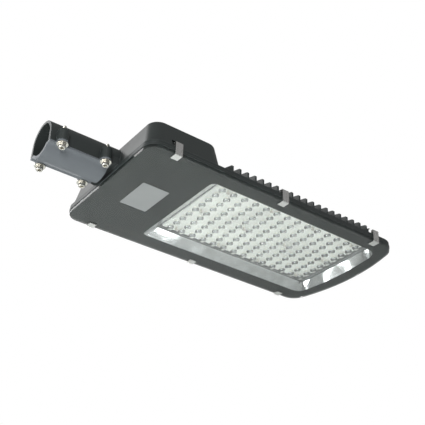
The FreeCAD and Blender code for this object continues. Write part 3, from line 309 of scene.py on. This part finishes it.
# Pipe clamp saddle: a second aluminium casting, given a paler and bluer grey than the housing, with
# its edges painted paler still as a painted highlight. The four cap screws pull it up against the pipe.
SADDLE_GREY = (0.150, 0.165, 0.180, 1)
# Painted highlight: the paler grey painted on the saddle's sharp edges.
SADDLE_HIGHLIGHT_GREY = (0.26, 0.28, 0.30, 1)
SADDLE_ROUGHNESS = 0.5
dress(coated("saddle_coat", SADDLE_GREY, SADDLE_HIGHLIGHT_GREY, SADDLE_ROUGHNESS), "clamp_saddle")


# Glass cover: a flat pane of toughened glass with ground edges, laid on its seal against the rim and
# held by the clips. A faint film of handling marks varies its gloss.
GLASS_TINT = (0.985, 0.995, 0.99, 1)
GLASS_IOR = 1.5
GLASS_MARKED_ROUGHNESS = 0.006
GLASS_MARKS_PER_METRE = 18.0
MARKS_FROM = 0.45
MARKS_TO = 0.75


def clear_material(name, colour, ior, smooth, marked, marks_per_metre):
    """Clear glass or acrylic, whose shadow lets light through to what it covers."""
    material, tree, shader = new_material(name, Base_Color=colour, IOR=ior, Transmission_Weight=1.0)
    film = shader_node(tree, "TexNoise", {
        "Vector": coordinates(tree), "Scale": marks_per_metre, "Detail": 4.0})
    gloss = ranged(tree, film.outputs[0], MARKS_FROM, MARKS_TO, smooth, marked)
    tree.links.new(gloss, shader["Roughness"])
    clear = shader_node(tree, "BsdfTransparent", {"Color": colour})
    shadow = shader_node(tree, "LightPath").outputs["Is Shadow Ray"]
    surface = tree.nodes["Principled BSDF"].outputs[0]
    mixed = shader_node(tree, "MixShader", {0: shadow, 1: surface, 2: clear.outputs[0]})
    tree.links.new(mixed.outputs[0], tree.nodes["Material Output"].inputs["Surface"])
    return material


dress(clear_material("clear_glass", GLASS_TINT, GLASS_IOR, 0.0, GLASS_MARKED_ROUGHNESS,
                     GLASS_MARKS_PER_METRE), "cover_glass")


# Border print: black-grey ceramic enamel, screen printed on the inner face of the pane and fired, so
# that it has sunk a little into the glass. It hides the driver and the seal.
ENAMEL_GREY = (0.005, 0.010, 0.009, 1)
ENAMEL_ROUGHNESS = 0.5
ENAMEL_BITE = 0.00003
enamel_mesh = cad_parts["glass_border_print"].data.copy()
enamel_low, enamel_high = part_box("glass_border_print")
for vertex in enamel_mesh.vertices:
    if vertex.co.z < (enamel_low.z + enamel_high.z) / 2:
        vertex.co.z -= ENAMEL_BITE
enamel_mesh.materials.clear()
enamel_mesh.materials.append(coated("border_enamel", ENAMEL_GREY, ENAMEL_GREY, ENAMEL_ROUGHNESS,
                                    edge=0.0001, peel=0.0006, depth=0.0000003))
enamel = linked("border_enamel", enamel_mesh)
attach(enamel, "root")
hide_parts("glass_border_print")


# Seal: a black silicone gasket, moulded in one ring and pressed between the pane's border and the
# rim. It is dull and very finely textured.
SEAL_BLACK = (0.012, 0.012, 0.012, 1)
SEAL_ROUGHNESS = 0.6
dress(coated("silicone_seal", SEAL_BLACK, SEAL_BLACK, SEAL_ROUGHNESS, edge=0.0001, peel=0.0009),
      "cover_seal")


# Rating label: a blank mid grey plastic film, die cut and stuck on over the border. It is satin,
# with a faint grain.
LABEL_GREY = (0.36, 0.375, 0.375, 1)
LABEL_ROUGHNESS = 0.5
dress(coated("label_film", LABEL_GREY, LABEL_GREY, LABEL_ROUGHNESS,
             edge=0.0001, peel=0.0005, depth=0.000005), "rating_label")


# Spring clips: six strips of bright stainless steel, rolled along their length, sheared and bent.
# Each hooks over the rim and presses its foot against the glass.
STEEL = (0.74, 0.735, 0.72, 1)
STEEL_ROUGHNESS = 0.24
ROLL_LINES = (2600.0, 60.0, 60.0)
ROLL_DEPTH = 0.000003
STRIP_EDGE = 0.0003

# Rolled, drawn or brushed metal: lines along the piece, uneven gloss, and edges painted brighter as
# a painted highlight.
brushed, given, made = shader_group(
    "brushed_metal",
    [("Colour", "Color", STEEL), ("Lines", "Vector", ROLL_LINES), ("Depth", "Float", 0.000004),
     ("Roughness", "Float", 0.3), ("Edge", "Float", 0.0), ("Normal", "Vector", (0, 0, 0))],
    [("Colour", "Color"), ("Roughness", "Float"), ("Normal", "Vector")])
stretched = shader_node(brushed, "VectorMath", {0: coordinates(brushed), 1: given["Lines"]},
                        operation="MULTIPLY")
lines = shader_node(brushed, "TexNoise", {
    "Vector": stretched.outputs[0], "Scale": 1.0, "Detail": 3.0}).outputs[0]
tone = ranged(brushed, lines, 0.3, 0.7, 0.88, 1.08)
# The lines' tone plus a painted highlight that brightens the edges.
grain_and_highlight = maths(brushed, "ADD", tone, maths(brushed, "MULTIPLY", given["Edge"], 0.25))
shade = shader_node(brushed, "HueSaturation", {"Color": given["Colour"], "Value": grain_and_highlight})
gloss = maths(brushed, "ADD", given["Roughness"], ranged(brushed, lines, 0.3, 0.7, -0.06, 0.08))
relief = shader_node(brushed, "Bump", {
    "Height": lines, "Distance": given["Depth"], "Normal": given["Normal"]})
brushed.links.new(shade.outputs[0], made["Colour"])
brushed.links.new(gloss, made["Roughness"])
brushed.links.new(relief.outputs[0], made["Normal"])


def bare_metal(name, colour, lines, depth, roughness, edge):
    """Uncoated metal. Lines are per metre along each axis; depth and the edge's radius are in metres."""
    material, tree, shader = new_material(name, Metallic=1.0)
    edges = place_group(tree, soft_edges, {"Radius": edge})
    connect(tree, shader, place_group(tree, brushed, {
        "Colour": colour, "Lines": lines, "Depth": depth, "Roughness": roughness,
        "Edge": edges["Edge"], "Normal": edges["Normal"]}))
    return material


dress(bare_metal("clip_steel", STEEL, ROLL_LINES, ROLL_DEPTH, STEEL_ROUGHNESS, STRIP_EDGE),
      *(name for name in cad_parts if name.startswith("spring_clip")))


# Reflector: mirror-bright anodised aluminium sheet, deep drawn into a frame with sloping walls that
# lies round the lenses. It is the smoothest metal on the lamp.
REFLECTOR_SILVER = (0.80, 0.81, 0.82, 1)
REFLECTOR_LINES = (40.0, 40.0, 40.0)
dress(bare_metal("reflector_polish", REFLECTOR_SILVER, REFLECTOR_LINES,
                 depth=0.000001, roughness=0.09, edge=0.0004), "reflector_tray")


# LED board: an aluminium-cored circuit board under white solder mask, screwed down behind the
# lenses. The mask is satin and bright, to waste no light.
BOARD_WHITE = (0.88, 0.90, 0.87, 1)
dress(coated("board_white", BOARD_WHITE, BOARD_WHITE, 0.5, edge=0.0002, depth=0.000003), "led_board")


# LED packages: small packages soldered to the board, one behind each lens, each filled with a pale
# yellow phosphor.
PHOSPHOR_YELLOW = (0.88, 0.87, 0.78, 1)
# Painted highlight: the paler colour painted on the packages' edges.
PHOSPHOR_HIGHLIGHT = (0.9, 0.9, 0.85, 1)
dress(coated("led_phosphor", PHOSPHOR_YELLOW, PHOSPHOR_HIGHLIGHT, 0.4, edge=0.0003, depth=0.000003),
      "led_chips")


# Thermal pad: a sheet of filled grey silicone, cut to the board's outline and squeezed between it
# and the housing, to which it carries the heat.
PAD_GREY = (0.35, 0.37, 0.40, 1)
dress(coated("thermal_pad", PAD_GREY, PAD_GREY, 0.8, edge=0.0002, peel=0.0005), "thermal_pad")


# Lens plate: clear moulded acrylic with one oval lens over each LED and a cup behind it that clears
# the LED. Each lens is a raised cushion with steep sides, slightly frosted and tinted grey as painted
# shade, and a nearly flat crown.
LENS_COLUMNS = 14
LENS_ROWS = 9
LENS_HALVES = (0.0053, 0.0062)
LENS_HEIGHT = 0.0042
LENS_CROWN_POWER = 3.2
LENS_WALL_POWER = 0.62
LENS_RINGS = (1.0, 0.985, 0.94, 0.87, 0.80, 0.68, 0.54, 0.38, 0.2)
LENS_SIDE_RINGS = 3
CUP_HALVES = (0.0026, 0.0026)
CUP_DEPTH = 0.0016
CUP_RINGS = (1.0, 0.92, 0.75, 0.5, 0.25)
OVAL_STEPS = 32
PLATE_MARGINS = (0.019, 0.0145)
PLATE_SKIN = 0.002
PLATE_SHARP_DEGREES = 35
WELD = 0.00001
ACRYLIC_IOR = 1.49
ACRYLIC_MARKS_PER_METRE = 30.0
CROWN_TINT = (0.985, 0.99, 0.98, 1)
CROWN_ROUGHNESS = (0.0, 0.01)
# Painted shade: the grey tint of the lenses' steep sides, standing for their dark refracted rings.
SIDE_PAINTED_SHADE_TINT = (0.66, 0.68, 0.67, 1)
SIDE_ROUGHNESS = (0.12, 0.25)


def oval_side(mesh, centre, cell, halves, rings, profile, level, side_rings=0):
    """One cell of a side of the plate: a flat frame with an oval that swells or sinks in it."""
    half_turn = OVAL_STEPS // 2
    corner_step = round(math.atan2(cell[1], cell[0]) / math.tau * OVAL_STEPS)
    turns = [(math.cos(math.tau * step / OVAL_STEPS), math.sin(math.tau * step / OVAL_STEPS))
             for step in range(OVAL_STEPS)]
    frame_loop = []
    for step, (along, across) in enumerate(turns):
        reach = 1 / max(abs(along) / cell[0], abs(across) / cell[1])
        spot = (along * reach, across * reach)
        if corner_step in (step % half_turn, half_turn - step % half_turn):
            spot = (math.copysign(cell[0], along), math.copysign(cell[1], across))
        frame_loop.append(mesh.verts.new((centre[0] + spot[0], centre[1] + spot[1], level)))
    loops = [frame_loop]
    for share in rings:
        loops.append([
            mesh.verts.new((centre[0] + halves[0] * share * along,
                            centre[1] + halves[1] * share * across,
                            level + profile(share)))
            for along, across in turns])
    for ring, (outer, inner) in enumerate(zip(loops, loops[1:])):
        for step in range(OVAL_STEPS):
            after = (step + 1) % OVAL_STEPS
            face = mesh.faces.new((outer[step], outer[after], inner[after], inner[step]))
            # The side rings take the second material, with its grey painted shade.
            face.material_index = int(0 < ring <= side_rings)
    top = mesh.verts.new((centre[0], centre[1], level + profile(0.0)))
    for step in range(OVAL_STEPS):
        mesh.faces.new((loops[-1][step], loops[-1][(step + 1) % OVAL_STEPS], top))


def lens_profile(share):
    """Height of the lens at a share of the way from its middle to its foot."""
    return -LENS_HEIGHT * max(0.0, 1 - share ** LENS_CROWN_POWER) ** LENS_WALL_POWER


def cup_profile(share):
    """Depth of the cup at a share of the way from its middle to its edge."""
    return -CUP_DEPTH * math.sqrt(max(0.0, 1 - share ** 2))


def smoothed(mesh, degrees):
    """Smooth shading, with the edges that turn further than this left sharp."""
    mesh.polygons.foreach_set("use_smooth", [True] * len(mesh.polygons))
    mesh.set_sharp_from_angle(angle=math.radians(degrees))


plate_low, plate_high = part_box("lens_plate")
plate_middle = (plate_low + plate_high) / 2
plate_top = plate_low.z + LENS_HEIGHT + PLATE_SKIN
grid = [(plate_high[axis] - plate_low[axis]) / 2 - PLATE_MARGINS[axis] for axis in (0, 1)]
cell = (grid[0] / (LENS_COLUMNS - 1), grid[1] / (LENS_ROWS - 1))
lens_field = (cell[0] * LENS_COLUMNS, cell[1] * LENS_ROWS)
plate = bmesh.new()
for column in range(LENS_COLUMNS):
    for row in range(LENS_ROWS):
        centre = (plate_middle.x + cell[0] * (2 * column - LENS_COLUMNS + 1),
                  plate_middle.y + cell[1] * (2 * row - LENS_ROWS + 1))
        oval_side(plate, centre, cell, LENS_HALVES, LENS_RINGS, lens_profile,
                  plate_top - PLATE_SKIN, LENS_SIDE_RINGS)
        oval_side(plate, centre, cell, CUP_HALVES, CUP_RINGS, cup_profile, plate_top)
bmesh.ops.remove_doubles(plate, verts=plate.verts, dist=WELD)

# A plain border runs out from the lenses to the plate's edge, on both sides, and the edge closes it.
open_edges = [edge for edge in plate.edges if len(edge.link_faces) == 1]
border = bmesh.ops.extrude_edge_only(plate, edges=open_edges)["geom"]
for vert in [item for item in border if isinstance(item, bmesh.types.BMVert)]:
    for axis in (0, 1):
        away = vert.co[axis] - plate_middle[axis]
        if abs(abs(away) - lens_field[axis]) < WELD:
            vert.co[axis] = plate_high[axis] if away > 0 else plate_low[axis]
open_edges = [edge for edge in plate.edges if len(edge.link_faces) == 1]
bmesh.ops.bridge_loops(plate, edges=open_edges)
bmesh.ops.recalc_face_normals(plate, faces=plate.faces)
lens_mesh = bpy.data.meshes.new("lens_sheet")
plate.to_mesh(lens_mesh)
plate.free()
lens_mesh.materials.append(clear_material(
    "lens_acrylic", CROWN_TINT, ACRYLIC_IOR, *CROWN_ROUGHNESS, ACRYLIC_MARKS_PER_METRE))
lens_mesh.materials.append(clear_material(
    "lens_side_painted_shade", SIDE_PAINTED_SHADE_TINT, ACRYLIC_IOR, *SIDE_ROUGHNESS, ACRYLIC_MARKS_PER_METRE))
smoothed(lens_mesh, PLATE_SHARP_DEGREES)
lens_sheet = linked("lens_sheet", lens_mesh)
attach(lens_sheet, "root")
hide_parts("lens_plate")


# Small screws inside: zinc plated steel, cold headed. They hold the lens plate and the board to the
# housing, and the driver by its feet.
PLATED_STEEL = (0.60, 0.58, 0.53, 1)
PLATED_LINES = (900.0, 900.0, 900.0)
dress(bare_metal("plated_steel", PLATED_STEEL, PLATED_LINES,
                 depth=0.000003, roughness=0.28, edge=0.0003), "lens_screws", "driver_screws")


# LED driver: a sealed power supply in a moulded case of grey plastic, screwed down by its feet
# inside the driver box. The case is satin, with a fine spark-eroded texture.
DRIVER_GREY = (0.55, 0.56, 0.57, 1)
# Painted highlight: the paler grey painted on the case's edges.
DRIVER_HIGHLIGHT_GREY = (0.6, 0.6, 0.6, 1)
dress(coated("driver_case", DRIVER_GREY, DRIVER_HIGHLIGHT_GREY, 0.45, peel=0.0006, depth=0.000008),
      "led_driver")


# Terminal block: moulded in natural, slightly yellow nylon. It joins the mains cable to the
# driver's lead.
NYLON_CREAM = (0.72, 0.71, 0.66, 1)
# Painted highlight: the paler cream painted on the block's edges.
NYLON_HIGHLIGHT_CREAM = (0.8, 0.8, 0.75, 1)
dress(coated("terminal_nylon", NYLON_CREAM, NYLON_HIGHLIGHT_CREAM, 0.5, peel=0.0005, depth=0.000005),
      "terminal_block")


# Leads: two copper leads in black extruded insulation, one into the driver and one out of it to the
# LED board. The insulation is smooth and a little shiny.
LEAD_BLACK = (0.02, 0.02, 0.02, 1)
# Painted highlight: the paler black painted on the insulation's edges.
LEAD_HIGHLIGHT_BLACK = (0.04, 0.04, 0.04, 1)
dress(coated("lead_insulation", LEAD_BLACK, LEAD_HIGHLIGHT_BLACK, 0.42, peel=0.0008, depth=0.00001),
      "input_lead", "output_lead")


# Cable gland: moulded black nylon, screwed into the wall at the inner end of the arm, where it seals
# the mains cable.
GLAND_BLACK = (0.03, 0.03, 0.032, 1)
# Painted highlight: the paler black painted on the gland's edges.
GLAND_HIGHLIGHT_BLACK = (0.06, 0.06, 0.06, 1)
dress(coated("gland_nylon", GLAND_BLACK, GLAND_HIGHLIGHT_BLACK, 0.4, peel=0.0007, depth=0.00001),
      "cable_gland")


# Clamp screws: four M6 cap screws of bright stainless steel, each cold headed with a knurled round
# head and a hexagon socket, with a rolled thread and a chamfered tip. They turn in the saddle.
SCREW_STEEL = (0.63, 0.61, 0.56, 1)
SCREW_LINES = (300.0, 300.0, 2400.0)
SCREW_SLICES = 72
SCREW_SHARP_DEGREES = 30
HEAD_RADIUS = 0.005
HEAD_HEIGHT = 0.006
HEAD_ARRIS = 0.0005
KNURLS = 36
KNURL_DEPTH = 0.00022
KNURL_FIRST = 1.4 * HEAD_ARRIS
KNURL_LAST = 0.8 * HEAD_ARRIS
KNURL_RUNOUT = 0.4 * HEAD_ARRIS
HEX_HALF_ACROSS = 0.0025
HEX_DEPTH = 0.0032
HEX_MOUTH = 1.12
SHANK_RADIUS = 0.003
THREAD_PITCH = 0.001
THREAD_DEPTH = 0.00055
THREAD_STEPS = 8
TIP_CHAMFER = 0.0008


def hexagon_radius(angle):
    """Distance from the middle of the hexagon socket to its side at an angle."""
    return HEX_HALF_ACROSS / math.cos((angle + math.pi / 6) % (math.pi / 3) - math.pi / 6)


def cap_screw(name, low, high):
    """The mesh of one screw that fills a box from its head, below, to its tip, above."""
    middle = (low + high) / 2
    head_top = low.z + HEAD_HEIGHT
    rings = [
        ("hex", low.z + HEX_DEPTH, 1.0, 0.0),
        ("hex", low.z + HEAD_ARRIS / 2, 1.0, 0.0),
        ("hex", low.z, HEX_MOUTH, 0.0),
        ("round", low.z, HEAD_RADIUS - HEAD_ARRIS, 0.0),
        ("round", low.z + HEAD_ARRIS, HEAD_RADIUS, 0.0),
        ("round", low.z + KNURL_FIRST, HEAD_RADIUS, KNURL_DEPTH),
        ("round", head_top - KNURL_LAST, HEAD_RADIUS, KNURL_DEPTH),
        ("round", head_top - KNURL_RUNOUT, HEAD_RADIUS, 0.0),
        ("round", head_top, HEAD_RADIUS, 0.0)]
    level = head_top
    while level < high.z - TIP_CHAMFER:
        rings.append(("thread", level, SHANK_RADIUS, 0.0))
        level += THREAD_PITCH / THREAD_STEPS
    rings.append(("round", high.z - TIP_CHAMFER, SHANK_RADIUS - THREAD_DEPTH, 0.0))
    rings.append(("round", high.z, SHANK_RADIUS - TIP_CHAMFER, 0.0))
    points = []
    for kind, level, size, knurl in rings:
        for place in range(SCREW_SLICES):
            angle = math.tau * place / SCREW_SLICES
            radius = size
            if kind == "hex":
                radius = size * hexagon_radius(angle)
            elif kind == "thread":
                wave = (level - head_top) / THREAD_PITCH - place / SCREW_SLICES
                radius = size - THREAD_DEPTH * abs(2 * (wave % 1.0) - 1)
            elif knurl and place % (SCREW_SLICES // KNURLS):
                radius = size - knurl
            points.append((middle.x + radius * math.cos(angle), middle.y + radius * math.sin(angle), level))
    faces = [tuple(reversed(range(SCREW_SLICES)))]
    for ring in range(len(rings) - 1):
        first = ring * SCREW_SLICES
        second = first + SCREW_SLICES
        for place in range(SCREW_SLICES):
            beside = (place + 1) % SCREW_SLICES
            faces.append((first + place, first + beside, second + beside, second + place))
    faces.append(tuple(range(len(points) - SCREW_SLICES, len(points))))
    mesh = bpy.data.meshes.new(name)
    mesh.from_pydata(points, [], faces)
    solid = bmesh.new()
    solid.from_mesh(mesh)
    bmesh.ops.recalc_face_normals(solid, faces=solid.faces)
    solid.to_mesh(mesh)
    solid.free()
    return mesh


screw_steel = bare_metal("screw_steel", SCREW_STEEL, SCREW_LINES,
                         depth=0.000003, roughness=0.2, edge=0.0003)
for number in (1, 2, 3, 4):
    screw_low, screw_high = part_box(f"clamp_screw_{number}")
    screw_mesh = cap_screw(f"cap_screw_{number}", screw_low, screw_high)
    screw_mesh.materials.append(screw_steel)
    smoothed(screw_mesh, SCREW_SHARP_DEGREES)
    screw = linked(f"cap_screw_{number}", screw_mesh)
    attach(screw, f"screw_{number}")
    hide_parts(f"clamp_screw_{number}")


# Clamp washers: flat washers punched from the same stainless steel. One lies under the head of each
# clamp screw and spreads its pull over the saddle's lug.
dress(screw_steel, "clamp_washers")
